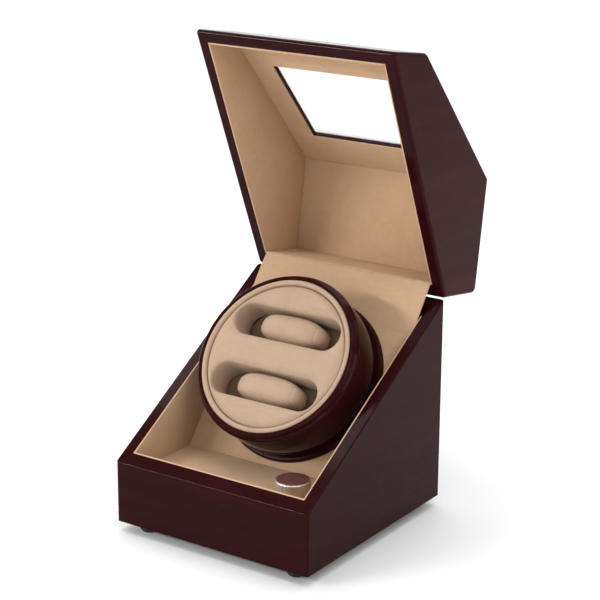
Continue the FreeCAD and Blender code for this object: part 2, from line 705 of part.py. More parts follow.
def make_jack():
    """Power inlet in the rear wall: flanged barrel with a centre pin."""
    barrel = rod(6.0, -BOARD - 7, 0).fuse(rod(7.5, 0, 1.2))
    barrel = barrel.removeSplitter().cut(rod(2.9, -10, 2))
    pin = rod(1.0, -10, -1)
    placed = [aimed(s, (JACK_X, HALF_D, JACK_Z), (0, 1, 0)) for s in (barrel, pin)]
    save("power_inlet", *placed)


# ---- hood --------------------------------------------------------------------------------------------

HOOD = [
    (-HALF_D, FOOT + FRONT_H), (HALF_D, FOOT + REAR_H), (HALF_D, FOOT + HOOD_H),
    (HALF_D - HOOD_TOP, FOOT + HOOD_H), (-HALF_D, FOOT + FRONT_H + HOOD_LIP),
]
FACES = ("rim", "rear", "top", "window", "front")
ROUNDED = ((HOOD[4], BROW_R), (HOOD[2], BACK_R))


def hood_profile(depth, rim_depth=RIM_GAP):
    """The hood's side outline, shut, every face moved in by depth but the rim by rim_depth."""
    return inset(HOOD, [rim_depth] + [depth] * 4)


def hood_shell():
    body = prism(hood_profile(0.0), -HALF_W, HALF_W)
    for corner, radius in ROUNDED:
        across = edges_where(body, lambda a, b: abs(a.x - b.x) > 1 and near_line(a, corner))
        body = body.makeFillet(radius, across)
    rounded = [e for e in body.Edges if not runs_along_rounding(e)]
    body = body.makeFillet(EDGE_R, rounded)
    inner = prism(hood_profile(BOARD, -20.0), -IN_X, IN_X)
    return body.cut(inner)


def near_line(point, corner):
    return abs(point.y - corner[0]) < 0.1 and abs(point.z - corner[1]) < 0.1


def runs_along_rounding(edge):
    """The seams where a large rounding meets the flat faces beside it."""
    ends = [v.Point for v in edge.Vertexes]
    if len(ends) < 2 or abs(ends[0].x - ends[1].x) < 1:
        return False
    return any(math.hypot(ends[0].y - corner[0], ends[0].z - corner[1]) < radius * 1.05
               for corner, radius in ROUNDED)


def window_frame():
    """Lower corner and the two in-plane directions of the window panel: along and outwards."""
    low, high = HOOD[4], HOOD[3]
    length = math.hypot(high[0] - low[0], high[1] - low[1])
    along = ((high[0] - low[0]) / length, (high[1] - low[1]) / length)
    return low, along, (-along[1], along[0])


def window_block(width, start, end, deep, shallow):
    """Block on the window panel, from depth deep to depth shallow below its outer face."""
    low, along, out = window_frame()

    def at(s, d):
        return (low[0] + along[0] * s - out[0] * d, low[1] + along[1] * s - out[1] * d)

    return prism([at(start, deep), at(end, deep), at(end, shallow), at(start, shallow)],
                 -width / 2, width / 2)


def hood_strips(outer, inner):
    """Mitred regions, one per face of the hood, between two outlines."""
    regions = {}
    for i, name in enumerate(FACES):
        if i == 0:
            continue
        j = (i + 1) % 5
        regions[name] = [outer[i], outer[j], inner[j], inner[i]]
    return regions


def make_hood_walls():
    shell = hood_shell()
    for tool in hinge_cutters() + [leaf_plate(x, 1, 0.0) for x in HINGE_XS]:
        shell = shell.cut(tool)
    for hole in hinge_screws(1, screw_hole):
        shell = shell.cut(hole)
    start, end = WINDOW_FROM_BROW, WINDOW_FROM_BROW + WINDOW_L
    shell = shell.cut(window_block(WINDOW_W, start, end, BOARD * 3, -5))
    lap = GLASS_LAP + 0.3
    shell = shell.cut(window_block(WINDOW_W + 2 * lap, start - lap, end + lap,
                                   GLASS_SET + GLASS_T, -5))
    far = 300
    left = shell.common(block((-HALF_W - 1, -far, 0), (-IN_X, far, far)))
    right = shell.common(block((IN_X, -far, 0), (HALF_W + 1, far, far)))
    save("hood_left_wall", swung(left))
    save("hood_right_wall", swung(right))
    grown = hood_profile(-6.0, -6.0)
    middle = shell.common(block((-IN_X, -far, 0), (IN_X, far, far)))
    names = {"rear": "hood_rear_wall", "top": "hood_top_panel",
             "window": "hood_window_panel", "front": "hood_front_lip"}
    deep = hood_profile(BOARD + 1.0, -6.0)
    for face, region in hood_strips(grown, deep).items():
        board = middle.common(prism(region, -IN_X, IN_X))
        save(names[face], swung(board))
    glass = window_block(WINDOW_W + 2 * GLASS_LAP, start - GLASS_LAP, end + GLASS_LAP,
                         GLASS_SET + GLASS_T, GLASS_SET)
    save("window_glass", swung(glass))


def make_hood_linings():
    outer, inner = hood_profile(BOARD), hood_profile(BOARD + SUEDE)
    side = prism(outer, -IN_X, -LINED_X)
    save("hood_left_lining", swung(side))
    side = prism(outer, LINED_X, IN_X)
    save("hood_right_lining", swung(side))
    start, end = WINDOW_FROM_BROW - 0.6, WINDOW_FROM_BROW + WINDOW_L + 0.6
    hole = window_block(WINDOW_W + 1.2, start, end, BOARD * 2, -5)
    for face, region in hood_strips(outer, inner).items():
        lining = prism(region, -LINED_X, LINED_X)
        if face == "window":
            lining = lining.cut(hole)
        save("hood_" + face + "_lining", swung(lining))


def make_hinges():
    leaves = {side: [hinge_leaf(x, side).cut(Part.makeCompound(hinge_screws(side, screw_hole)))
                     for x in HINGE_XS] for side in (-1, 1)}
    save("hinge_case_leaves", *leaves[-1])
    save("hinge_hood_leaves", *[swung(leaf) for leaf in leaves[1]])
    save("hinge_pins", *[Part.makeCylinder(PIN_R, HINGE_W, V(x - HINGE_W / 2, HINGE_Y, HINGE_Z),
                                           V(1, 0, 0)) for x in HINGE_XS])
    save("hinge_case_screws", *hinge_screws(-1))
    save("hinge_hood_screws", *[swung(s) for s in hinge_screws(1)])


os.makedirs("parts", exist_ok=True)
make_case_walls()
make_bottom()
make_boards()
make_case_linings()
make_disc()
make_bearing()
make_drive()
make_motor()
make_cup()
make_hub()
make_cushion()
make_pillows()
make_controls()
make_jack()
make_hood_walls()
make_hood_linings()
make_hinges()
for name, volume in SAVED:
    print(f"{name:22s} {volume:10.1f} mm3")
print(len(SAVED), "nodes")
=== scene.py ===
"""Looks of the watch winder box: lacquer, suede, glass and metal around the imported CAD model."""

import json
import math

import bmesh
import bpy
from mathutils import Euler, Matrix, Vector
from mathutils.geometry import delaunay_2d_cdt


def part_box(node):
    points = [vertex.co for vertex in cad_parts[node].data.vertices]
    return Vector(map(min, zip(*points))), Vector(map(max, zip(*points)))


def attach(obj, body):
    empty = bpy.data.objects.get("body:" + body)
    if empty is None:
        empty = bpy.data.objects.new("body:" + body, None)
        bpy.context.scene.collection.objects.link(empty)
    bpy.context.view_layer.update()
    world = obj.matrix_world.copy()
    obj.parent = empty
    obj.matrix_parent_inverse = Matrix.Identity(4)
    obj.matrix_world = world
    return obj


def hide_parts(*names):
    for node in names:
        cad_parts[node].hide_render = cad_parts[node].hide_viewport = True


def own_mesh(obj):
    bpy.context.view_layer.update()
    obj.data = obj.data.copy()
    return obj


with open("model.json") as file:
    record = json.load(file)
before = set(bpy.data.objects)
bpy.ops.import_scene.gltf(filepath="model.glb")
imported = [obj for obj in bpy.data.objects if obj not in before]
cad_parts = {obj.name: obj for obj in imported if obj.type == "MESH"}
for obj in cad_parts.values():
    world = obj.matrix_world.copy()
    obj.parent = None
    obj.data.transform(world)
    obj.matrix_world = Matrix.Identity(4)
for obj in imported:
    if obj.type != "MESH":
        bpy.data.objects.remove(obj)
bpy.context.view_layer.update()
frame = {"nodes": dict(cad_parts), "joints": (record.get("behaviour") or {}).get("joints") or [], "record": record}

MM = 0.001
NODES = frame["nodes"]
JOINTS = {joint["name"]: joint for joint in frame["joints"]}

# ---- where things are, from the frame ------------------------------------------------------------

AXIS_AT = Vector(JOINTS["rotor_spin"]["pos_m"])
AXIS = Vector(JOINTS["rotor_spin"]["axis"])
ACROSS = Vector((1, 0, 0))
UP_SLOPE = AXIS.cross(ACROSS)
ROTOR = Matrix((ACROSS, UP_SLOPE, AXIS)).transposed().to_4x4()
ROTOR.translation = AXIS_AT
HINGE_AT = Vector(JOINTS["hood_hinge"]["pos_m"])

# ---- the rotor's cushion, in the rotor's own axes, with Z up from the sloped panel ---------------

FACE_H = 48.7 * MM            # height of the cushion's face
CUSHION_R = 56.4 * MM
MOUTH_R = 60.8 * MM           # inside of the cup's mouth
SLOT_HALF = 46 * MM           # half length of a slot
SLOT_R = 12.5 * MM            # half width of a slot, and the radius of its ends
SLOT_OFF = 24 * MM            # middle of a slot from the rotor's axis
SLOT_FLOOR = 18 * MM          # height of the floor in the slots


# ---- shader nodes --------------------------------------------------------------------------------

class Shader:
    """A material under construction: adds nodes and joins them."""

    def __init__(self, name):
        self.material = bpy.data.materials.new(name)
        self.material.use_nodes = True
        self.tree = self.material.node_tree
        self.bsdf = self.tree.nodes["Principled BSDF"]

    def add(self, kind, **values):
        """A node with its settings. An input's name is given with _ for each space."""
        node = self.tree.nodes.new(kind)
        for key, value in values.items():
            if hasattr(node, key):
                setattr(node, key, value)
            else:
                node.inputs[key.replace("_", " ")].default_value = value
        return node

    def join(self, out, into):
        self.tree.links.new(out, into)

    def set(self, **values):
        for key, value in values.items():
            self.bsdf.inputs[key.replace("_", " ")].default_value = value

    def place(self, scale, turn):
        """Object coordinates, scaled and turned, for a pattern."""
        coords = self.add("ShaderNodeTexCoord")
        mapping = self.add("ShaderNodeMapping", Scale=scale, Rotation=turn)
        self.join(coords.outputs["Object"], mapping.inputs["Vector"])
        return mapping.outputs["Vector"]

    def noise(self, scale, turn=(0, 0, 0), detail=2.0, rough=0.5, warp=0.0):
        node = self.add("ShaderNodeTexNoise", Scale=1.0, Detail=detail, Roughness=rough,
                        Distortion=warp)
        self.join(self.place(scale, turn), node.inputs["Vector"])
        return node.outputs["Fac"]

    def ramp(self, fac, *stops):
        node = self.add("ShaderNodeValToRGB")
        band = node.color_ramp
        while len(band.elements) < len(stops):
            band.elements.new(0.5)
        for element, (at, color) in zip(band.elements, stops):
            element.position = at
            element.color = (*color, 1)
        self.join(fac, node.inputs["Fac"])
        return node.outputs["Color"]

    def spread(self, fac, low, high):
        """A factor from 0 to 1 stretched to run from low to high."""
        node = self.add("ShaderNodeMapRange", To_Min=low, To_Max=high)
        self.join(fac, node.inputs["Value"])
        return node.outputs["Result"]

    def blend(self, a, b, fac, mode="MIX"):
        """Two colours mixed. A mix node has sockets for each data type: 6, 7 and out 2 are colours."""
        node = self.add("ShaderNodeMix", data_type="RGBA", blend_type=mode)
        self.join(a, node.inputs[6])
        self.join(b, node.inputs[7])
        if isinstance(fac, bpy.types.NodeSocket):
            self.join(fac, node.inputs[0])
        else:
            node.inputs[0].default_value = fac
        return node.outputs[2]

    def bump(self, height, strength, distance, after=None):
        node = self.add("ShaderNodeBump", Strength=strength, Distance=distance)
        self.join(height, node.inputs["Height"])
        if after is not None:
            self.join(after, node.inputs["Normal"])
        return node.outputs["Normal"]

    def done(self, color, rough=None, normal=None):
        self.join(color, self.bsdf.inputs["Base Color"])
        if rough is not None:
            self.join(rough, self.bsdf.inputs["Roughness"])
        if normal is not None:
            self.join(normal, self.bsdf.inputs["Normal"])
        return self.material


# ---- lacquered wood ------------------------------------------------------------------------------

WHITE = (1, 1, 1)
STAIN = (1, 0.13, 0.17)       # red, green and blue of the stain, as shares of its red
PORES = 9                     # times finer than the bands of the grain
SIDEWAYS = (0.35, 0.85)       # the side sheet and its painted light fade in between these sideways parts of a normal


def side_facing(s):
    """1 on faces that look left or right, 0 on the others."""
    parts = s.add("ShaderNodeSeparateXYZ")
    s.join(s.add("ShaderNodeTexCoord").outputs["Normal"], parts.inputs["Vector"])
    sideways = s.add("ShaderNodeMath", operation="ABSOLUTE")
    s.join(parts.outputs["X"], sideways.inputs[0])
    edge = s.add("ShaderNodeMapRange", From_Min=SIDEWAYS[0], From_Max=SIDEWAYS[1])
    s.join(sideways.outputs["Value"], edge.inputs["Value"])
    return edge.outputs["Result"]


def veneer(s, grain, tone, turn=(0, 0, 0)):
    """Stained mahogany: flowing bands and fine pores. A larger tone is lighter: a lighter stain, and on the side
    faces painted light.
    """
    flow = s.noise(grain, turn, detail=7.0, rough=0.60, warp=0.8)
    reds = ((0.30, 0.0240), (0.50, 0.0300), (0.72, 0.0400))
    bands = s.ramp(flow, *((at, tuple(red * tone * share for share in STAIN)) for at, red in reds))
    pores = s.noise(tuple(scale * PORES for scale in grain), turn, rough=0.7)
    dark = s.ramp(pores, (0.42, (0.78, 0.76, 0.76)), (0.60, WHITE))
    return s.blend(bands, dark, 0.5, "MULTIPLY")


def boards(s, side_light_tone, side_turn):
    """One sheet of veneer on each face: across the front, turned about X on the sides. The sides' own tone is
    painted light: the hood's sides are painted much lighter than the case's.
    """
    front = veneer(s, (9, 60, 60), 0.74)
    side = veneer(s, (60, 9, 60), side_light_tone, (math.radians(side_turn), 0, 0))
    return s.blend(front, side, side_facing(s))


def case_veneer(s):
    return boards(s, 0.76, 31)


# painted light: the hood's side faces are toned much lighter than the case's, for the light that falls on them
def hood_veneer_lit_sides(s):
    return boards(s, 1.15, -68)


def turned_veneer(s):
    return veneer(s, (40, 40, 40), 0.85)


def lacquer(name, finish, dullness=0.05):
    """Burgundy lacquer over the veneer that finish makes."""
    s = Shader(name)
    film = s.noise((55, 55, 55))
    s.set(IOR=1.14)
    return s.done(finish(s), s.spread(film, dullness, dullness * 1.8), s.bump(film, 0.04, 0.2 * MM))


# ---- the other materials -------------------------------------------------------------------------

BLACK = (0.018, 0.017, 0.018)
BEIGE = ((0.560, 0.375, 0.232), (0.534, 0.355, 0.218), (0.584, 0.394, 0.246))
CUSHION = ((0.458, 0.324, 0.227), (0.436, 0.307, 0.213), (0.477, 0.340, 0.240))


def suede(name, base, dark, light):
    """Short-napped suede cloth: brushed patches, fine fibre and a soft sheen."""
    s = Shader(name)
    nap = s.noise((30, 30, 30), detail=3.0, rough=0.55, warp=0.4)
    color = s.ramp(nap, (0.30, dark), (0.50, base), (0.72, light))
    streaks = s.ramp(s.noise((160, 420, 260)), (0.3, (0.95, 0.945, 0.94)), (0.7, WHITE))
    color = s.blend(color, streaks, 1.0, "MULTIPLY")
    fibre = s.noise((2600, 2600, 2600), rough=0.6)
    flecks = s.ramp(fibre, (0.30, (0.86, 0.84, 0.82)), (0.70, WHITE))
    color = s.blend(color, flecks, 0.8, "MULTIPLY")
    normal = s.bump(fibre, 0.35, 0.12 * MM, s.bump(nap, 0.08, 0.6 * MM))
    s.set(Roughness=0.93, IOR=1.35)
    s.set(Sheen_Weight=0.10, Sheen_Roughness=0.45, Sheen_Tint=(1.0, 0.78, 0.58, 1))
    return s.done(color, normal=normal)


def plastic(name, color, rough, grain=900):
    """Moulded plastic, rubber or coated board with a fine pebbled surface."""
    s = Shader(name)
    pebble = s.noise((grain,) * 3)
    tone = s.ramp(pebble, (0.3, tuple(c * 0.86 for c in color)), (0.7, color))
    s.set(IOR=1.46)
    return s.done(tone, s.spread(pebble, rough * 0.85, rough * 1.15), s.bump(pebble, 0.12, 0.1 * MM))


def metal(name, color, rough, streak):
    """Brushed metal: its streaks run along the axis whose scale is small."""
    s = Shader(name)
    lines = s.noise(streak, detail=3.0, rough=0.65)
    tone = s.ramp(lines, (0.25, tuple(c * 0.72 for c in color)), (0.75, color))
    s.set(Metallic=1.0)
    return s.done(tone, s.spread(lines, rough * 0.8, rough * 1.3), s.bump(lines, 0.08, 0.05 * MM))


def clear_glass(name):
    """Thin clear pane with the faintest haze."""
    s = Shader(name)
    haze = s.noise((30, 30, 30))
    tone = s.ramp(haze, (0.3, (0.97, 0.985, 0.98)), (0.7, WHITE))
    s.set(Transmission_Weight=1.0, IOR=1.08, Alpha=0.35)
    return s.done(tone, s.spread(haze, 0.0, 0.004))


MATERIALS = {                 # maker and details of each finish
    "lacquer": (lacquer, case_veneer),
    # the hood's copy carries painted light: its side faces are toned lighter
    "lacquer_hood_lit_sides": (lacquer, hood_veneer_lit_sides),
    "lacquer_cup": (lacquer, turned_veneer, 0.03),
    "lacquer_disc": (lacquer, turned_veneer, 0.26),
    "suede_lining": (suede, *BEIGE),
    "suede_cushion": (suede, *CUSHION),
    "clear_glass": (clear_glass,),
    "hinge_metal": (metal, (0.80, 0.60, 0.28), 0.20, (40, 900, 900)),
    "screw_steel": (metal, (0.55, 0.55, 0.56), 0.28, (600, 600, 600)),
    "foot_rubber": (plastic, BLACK, 0.62),
    "bronze_bush": (metal, (0.55, 0.35, 0.17), 0.4, (700, 700, 700)),
    "moulded_black": (plastic, BLACK, 0.42),
    "gear_white": (plastic, (0.78, 0.77, 0.72), 0.35),
    "shaft_steel": (metal, (0.62, 0.62, 0.64), 0.22, (900, 200, 200)),
    "motor_steel": (metal, (0.60, 0.61, 0.62), 0.25, (300, 300, 300)),
    "bracket_steel": (metal, (0.55, 0.55, 0.57), 0.35, (60, 700, 700)),
    "board_green": (plastic, (0.01, 0.10, 0.035), 0.35, 300),
    # painted reflection: the knob metal's warm tint stands in for the beige lining it reflects
    "knob_metal": (metal, (0.72, 0.66, 0.60), 0.40, (700, 700, 25)),
    "knob_inlay": (plastic, (0.125, 0.050, 0.043), 0.12, 160),
    "cover_board": (plastic, (0.03, 0.026, 0.025), 0.55, 400),
}
TURNED = {"rotor_cup": "lacquer_cup", "base_disc": "lacquer_disc"}


def paint_nodes(materials):
    """Every carried-over CAD node gets the finish of its slot; lacquer has a case copy and a hood copy, which
    differ in grain direction and in the painted light on their side faces.
    """
    for row in frame["record"]["subparts"]:
        node, key = row["node"], row["material_slot"]
        if node in TURNED:
            key = TURNED[node]
        elif key == "lacquer" and node.startswith("hood"):
            key = "lacquer_hood_lit_sides"
        mesh = NODES[node].data
        mesh.materials.clear()
        mesh.materials.append(materials[key])


# ---- mesh helpers --------------------------------------------------------------------------------

WELD = 0.02 * MM              # points closer than this are one


def new_piece(name, bm, material):
    """An object made from a bmesh, which is used up."""
    mesh = bpy.data.meshes.new(name)
    bm.to_mesh(mesh)
    bm.free()
    mesh.materials.append(material)
    piece = bpy.data.objects.new(name, mesh)
    bpy.context.scene.collection.objects.link(piece)
    return piece


def smooth(piece, degrees):
    """Smooth shading, with edges sharper than the angle kept crisp."""
    for polygon in piece.data.polygons:
        polygon.use_smooth = True
    piece.data.set_sharp_from_angle(angle=math.radians(degrees))


def add_modifier(piece, kind, **values):
    modifier = piece.modifiers.new(kind.lower(), kind)
    for key, value in values.items():
        setattr(modifier, key, value)
    return modifier


def apply_modifiers(piece):
    graph = bpy.context.evaluated_depsgraph_get()
    mesh = bpy.data.meshes.new_from_object(piece.evaluated_get(graph))
    piece.modifiers.clear()
    piece.data = mesh


def skin(bm, rows, closed):
    """Quads between rows of points that follow each other; closed rows are rings."""
    count = len(rows[0])
    for a, b in zip(rows, rows[1:]):
        for i in range(count if closed else count - 1):
            j = (i + 1) % count
            bm.faces.new((a[i], a[j], b[j], b[i]))


def lathe(profile, steps):
    """Closed (radius, height) outline turned about the rotor's axis."""
    bm = bmesh.new()
    rings = []
    for k in range(steps):
        turn = 2 * math.pi * k / steps
        rings.append([bm.verts.new(ROTOR @ Vector((r * math.cos(turn), r * math.sin(turn), h)))
                      for r, h in profile])
    skin(bm, rings + rings[:1], closed=True)
    bmesh.ops.recalc_face_normals(bm, faces=bm.faces)
    return bm


SOLVER_SCALE = 10
SOLVER_FRAMES = 20


def inflate(piece, pressure, travel, held):
    """Cloth under pressure from inside: held points stay, the others move at most the travel.

    The solver works at ten times the size, where a small pad is as big as a seat cushion.
    """
    mesh = piece.data
    before = [vertex.co.copy() for vertex in mesh.vertices]
    mesh.transform(Matrix.Scale(SOLVER_SCALE, 4))
    group = piece.vertex_groups.new(name="held")
    group.add([i for i, at in enumerate(before) if held(at)], 1.0, "REPLACE")
    cloth = add_modifier(piece, "CLOTH")
    cloth.settings.use_pressure = True
    cloth.settings.uniform_pressure_force = pressure
    cloth.settings.effector_weights.gravity = 0
    cloth.settings.vertex_group_mass = "held"
    cloth.point_cache.frame_end = SOLVER_FRAMES
    for step in range(1, SOLVER_FRAMES + 1):
        bpy.context.scene.frame_set(step)
    apply_modifiers(piece)
    bpy.context.scene.frame_set(1)
    piece.vertex_groups.clear()
    for vertex, start in zip(piece.data.vertices, before):
        move = vertex.co / SOLVER_SCALE - start
        if move.length > travel:
            move.length = travel
        vertex.co = start + move


# ---- linings -------------------------------------------------------------------------------------

LINING_ROLL = 0.45 * MM       # how far the cloth rolls round an edge
FLAT_TURN = math.radians(2)   # faces that turn less than this are one face
EDGE_TURN = math.radians(25)  # the cloth rolls where faces turn more than this
LININGS = {
    "wall_lining": ("case", ["left_wall", "right_wall", "front_wall"]),
    "ledge_lining": ("case", ["ledge_board"]),
    "slope_lining": ("case", ["slope_board"]),
    "hood_left_lining": ("hood", ["hood_left_wall"]),
    "hood_right_lining": ("hood", ["hood_right_wall"]),
    "hood_rear_lining": ("hood", ["hood_rear_wall"]),
    "hood_top_lining": ("hood", ["hood_top_panel"]),
    "hood_window_lining": ("hood", ["hood_window_panel"]),
    "hood_front_lining": ("hood", ["hood_front_lip"]),
}


def make_lining(node, body, material):
    """A lining made from its CAD node's outline, with the cloth rolled round every edge."""
    bm = bmesh.new()
    bm.from_mesh(NODES[node].data)
    bmesh.ops.remove_doubles(bm, verts=bm.verts, dist=WELD)
    bmesh.ops.dissolve_limit(bm, angle_limit=FLAT_TURN, verts=bm.verts, edges=bm.edges)
    sharp = [edge for edge in bm.edges
             if len(edge.link_faces) == 2 and edge.calc_face_angle(0) > EDGE_TURN]
    bmesh.ops.bevel(bm, geom=sharp, offset=LINING_ROLL, segments=4, profile=0.5, affect="EDGES",
                    clamp_overlap=True)
    bmesh.ops.triangulate(bm, faces=[face for face in bm.faces if len(face.verts) > 4])
    piece = new_piece(node + "_cloth", bm, material)
    smooth(piece, 50)
    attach(piece, body)
    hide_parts(node)


# ---- cloth over the hinge gap --------------------------------------------------------------------

FLAP_START = 52 * MM          # lower end of the cloth, up the slope from the rotor's axis
FLAP_IN = 1.0 * MM            # upper end, behind the front of the hood's rear lining
FLAP_OVER = 0.2 * MM          # upper end, above the top of the hood's rear lining
FLAP_THICK = 0.9 * MM
FLAP_SAG = 0.6 * MM           # of the middle, halfway up
FLAP_CURL = 0.9 * MM          # lift of the side edges, halfway up
FLAP_SPREAD = 0.3 * MM        # extra half width, halfway up
FLAP_RIPPLE = 0.25 * MM
RIPPLE_ACROSS, RIPPLE_ALONG = 9, 2     # radians of ripple, from the middle to a side and up
CURL_POWER = 8                # a larger power keeps the curl nearer to the side edges
FLAP_SHUT = 1.5 * MM          # how far in front of the shut hood's lining the shut end point lies
FLAP_ROWS, FLAP_COLUMNS = 28, 40


def flap_row(start, end, half, t):
    """Points across the cloth from side to side, at a share t of the way up."""
    sag = math.sin(math.pi * t)
    middle = start.lerp(end, t)
    wide = half + FLAP_SPREAD * sag
    points = []
    for j in range(FLAP_COLUMNS + 1):
        u = 2 * j / FLAP_COLUMNS - 1
        ripple = FLAP_RIPPLE * math.sin(RIPPLE_ACROSS * u + RIPPLE_ALONG * t) * sag
        lift = AXIS * (-FLAP_SAG * sag * (1 - u * u) + ripple)
        curl = AXIS * (FLAP_CURL * sag * abs(u) ** CURL_POWER)
        points.append(Vector((u * wide, 0, 0)) + middle + lift + curl)
    return points


def make_hinge_cloth(material):
    """Cloth from the top of the sloped panel over the hinge gap to the hood's rear wall.
    """
    start = AXIS_AT + UP_SLOPE * FLAP_START
    hood_low, hood_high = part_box("hood_rear_lining")
    end = Vector((0, hood_low.y + FLAP_IN, hood_high.z + FLAP_OVER))
    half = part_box("hinge_flap")[1].x
    bm = bmesh.new()
    rows = [flap_row(start, end, half, i / FLAP_ROWS) for i in range(FLAP_ROWS + 1)]
    skin(bm, [[bm.verts.new(point) for point in row] for row in rows], closed=False)
    piece = new_piece("hinge_cloth", bm, material)
    add_modifier(piece, "SOLIDIFY", thickness=FLAP_THICK, offset=-1)
    apply_modifiers(piece)
    smooth(piece, 60)
    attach(piece, "case")
    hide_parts("hinge_flap")
    swing = Matrix.Rotation(math.radians(JOINTS["hood_hinge"]["range_deg"][1]), 3, "X")
    shut = HINGE_AT + swing @ (end - HINGE_AT)
    shut.x = 0
    shut.y -= FLAP_SHUT
    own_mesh(piece)


# ---- rotor cushion -------------------------------------------------------------------------------

CROWN = 0.7 * MM              # rise of the face away from its edges
CROWN_REACH = 5 * MM
EDGE_DROP = 0.5 * MM          # of the face at its edges, before they roll over
RIM_ROLL = 3.2 * MM
SLOT_ROLL = 2.6 * MM
EDGE_INSETS = (0.0, 0.15, 0.5, 1.1, 1.9, 2.8, 4.0)     # mm in from an edge: its rows of points
SKIRT = (7.5, 13.5, 25.5)                              # mm below the face: rows of the cover's sides
RIM_POINTS = 240              # round the cushion
END_STEPS = 24                # round one end of a slot
GRID = 1.6 * MM               # between the other points of the face
GRID_INSET = 4.6 * MM
COVER_TRAVEL = 0.7 * MM
COVER_HELD = 1.6 * MM         # the cover is held from this far below the face
FLOOR_THICK = 2 * MM          # of the floor in the slots
FLOOR_CORE = 0.2 * MM         # radius of the hole that keeps that turned form's middle open
COLLAR_GAP = 0.25 * MM        # the collar is this much narrower than its place
COLLAR_OUT = 0.1 * MM         # and this far out from the middle of it
COLLAR_DEPTH = 12 * MM        # of its lower end below the face
COLLAR_SHOULDER = 0.45        # depth of its straight sides' top below the face, of its width
COLLAR_DOME = 0.52            # height of its round top, of its width
COLLAR_STEPS = 14             # over its round top


def slot_distance(x, y):
    """Distance outside the nearer slot's edge; negative inside it."""
    past_straight = max(abs(x) - (SLOT_HALF - SLOT_R), 0.0)
    return min(math.hypot(past_straight, y - side * SLOT_OFF) - SLOT_R for side in (-1, 1))


def rolled(distance, radius):
    """Drop of a rolled edge at a distance in from it."""
    if distance >= radius:
        return 0.0
    return radius - math.sqrt(max(radius ** 2 - (radius - distance) ** 2, 0.0))


def face_height(x, y):
    edge = CUSHION_R - math.hypot(x, y)
    slot = slot_distance(x, y)
    crown = CROWN * (1 - math.exp(-min(edge, slot) / CROWN_REACH))
    return FACE_H - EDGE_DROP + crown - rolled(edge, RIM_ROLL) - rolled(slot, SLOT_ROLL)


def slot_outline(side, grow):
    """Points round a slot that is grown on all sides: an arc at each end."""
    reach, radius = SLOT_HALF - SLOT_R, SLOT_R + grow
    points = []
    for end in (1, -1):
        for k in range(END_STEPS + 1):
            turn = -math.pi / 2 + math.pi * k / END_STEPS
            points.append((end * (reach + radius * math.cos(turn)),
                           side * SLOT_OFF + end * radius * math.sin(turn)))
    return points


def cushion_plan():
    """Points and faces of the cushion's face laid flat, with closer points along its edges."""
    points, loops = [], []
    for inset in EDGE_INSETS:
        radius = CUSHION_R - inset * MM
        turns = [2 * math.pi * k / RIM_POINTS for k in range(RIM_POINTS)]
        circle = [(radius * math.cos(turn), radius * math.sin(turn)) for turn in turns]
        for loop in (circle, slot_outline(-1, inset * MM), slot_outline(1, inset * MM)):
            loops.append(range(len(points), len(points) + len(loop)))
            points += loop
    edges = [(loop[i], loop[(i + 1) % len(loop)]) for loop in loops for i in range(len(loop))]
    count = int(CUSHION_R / GRID)
    for i in range(-count, count + 1):
        for j in range(-count, count + 1):
            x, y = i * GRID, j * GRID
            if min(CUSHION_R - math.hypot(x, y), slot_distance(x, y)) > GRID_INSET:
                points.append((x, y))
    verts, _, faces = delaunay_2d_cdt([Vector(p) for p in points], edges, [], 0, 1e-7)[:3]
    return verts, faces


def make_cushion(material):
    """Suede over foam: a disc with two slots, rolled edges and a slight crown."""
    verts, faces = cushion_plan()
    bm = bmesh.new()
    made = [bm.verts.new((v.x, v.y, face_height(v.x, v.y))) for v in verts]
    for face in faces:
        middle = sum((verts[i] for i in face), Vector((0, 0))) / len(face)
        if slot_distance(middle.x, middle.y) > 0:
            bm.faces.new([made[i] for i in face])
    for vert in [v for v in bm.verts if not v.link_faces]:
        bm.verts.remove(vert)
    rim = [tuple(edge.verts) for edge in bm.edges if len(edge.link_faces) == 1]
    for depth in SKIRT:
        low = FACE_H - depth * MM
        below = {vert: bm.verts.new((vert.co.x, vert.co.y, low))
                 for vert in dict.fromkeys(vert for edge in rim for vert in edge)}
        for a, b in rim:
            bm.faces.new((a, b, below[b], below[a]))
        rim = [(below[a], below[b]) for a, b in rim]
    bmesh.ops.recalc_face_normals(bm, faces=bm.faces)
    piece = new_piece("cushion_cover", bm, material)
    inflate(piece, 3.0, COVER_TRAVEL, lambda at: at.z < FACE_H - COVER_HELD)
    piece.data.transform(ROTOR)
    smooth(piece, 70)
    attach(piece, "rotor")
    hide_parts("slotted_cushion")


def make_slot_floor(material):
    """The padded floor that shows at the bottom of both slots."""
    low = SLOT_FLOOR - FLOOR_THICK
    profile = [(FLOOR_CORE, SLOT_FLOOR), (CUSHION_R, SLOT_FLOOR), (CUSHION_R, low), (FLOOR_CORE, low)]
    piece = new_piece("slot_floor", lathe(profile, steps=96), material)
    smooth(piece, 40)
    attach(piece, "rotor")
    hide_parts("cushion_backing")


def make_collar(material):
    """Padded collar between the cushion and the cup's mouth: straight sides and a round top."""
    width = MOUTH_R - CUSHION_R - COLLAR_GAP
    middle = (MOUTH_R + CUSHION_R) / 2 + COLLAR_OUT
    top, low = FACE_H - width * COLLAR_SHOULDER, FACE_H - COLLAR_DEPTH
    turns = [math.pi * k / COLLAR_STEPS for k in range(COLLAR_STEPS + 1)]
    profile = [(middle + width / 2 * math.cos(turn), top + width * COLLAR_DOME * math.sin(turn))
               for turn in turns]
    profile += [(middle - width / 2, low), (middle + width / 2, low)]
    piece = new_piece("cushion_collar", lathe(profile, steps=200), material)
    smooth(piece, 50)
    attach(piece, "rotor")
    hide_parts("cushion_ring")


# ---- pillows -------------------------------------------------------------------------------------

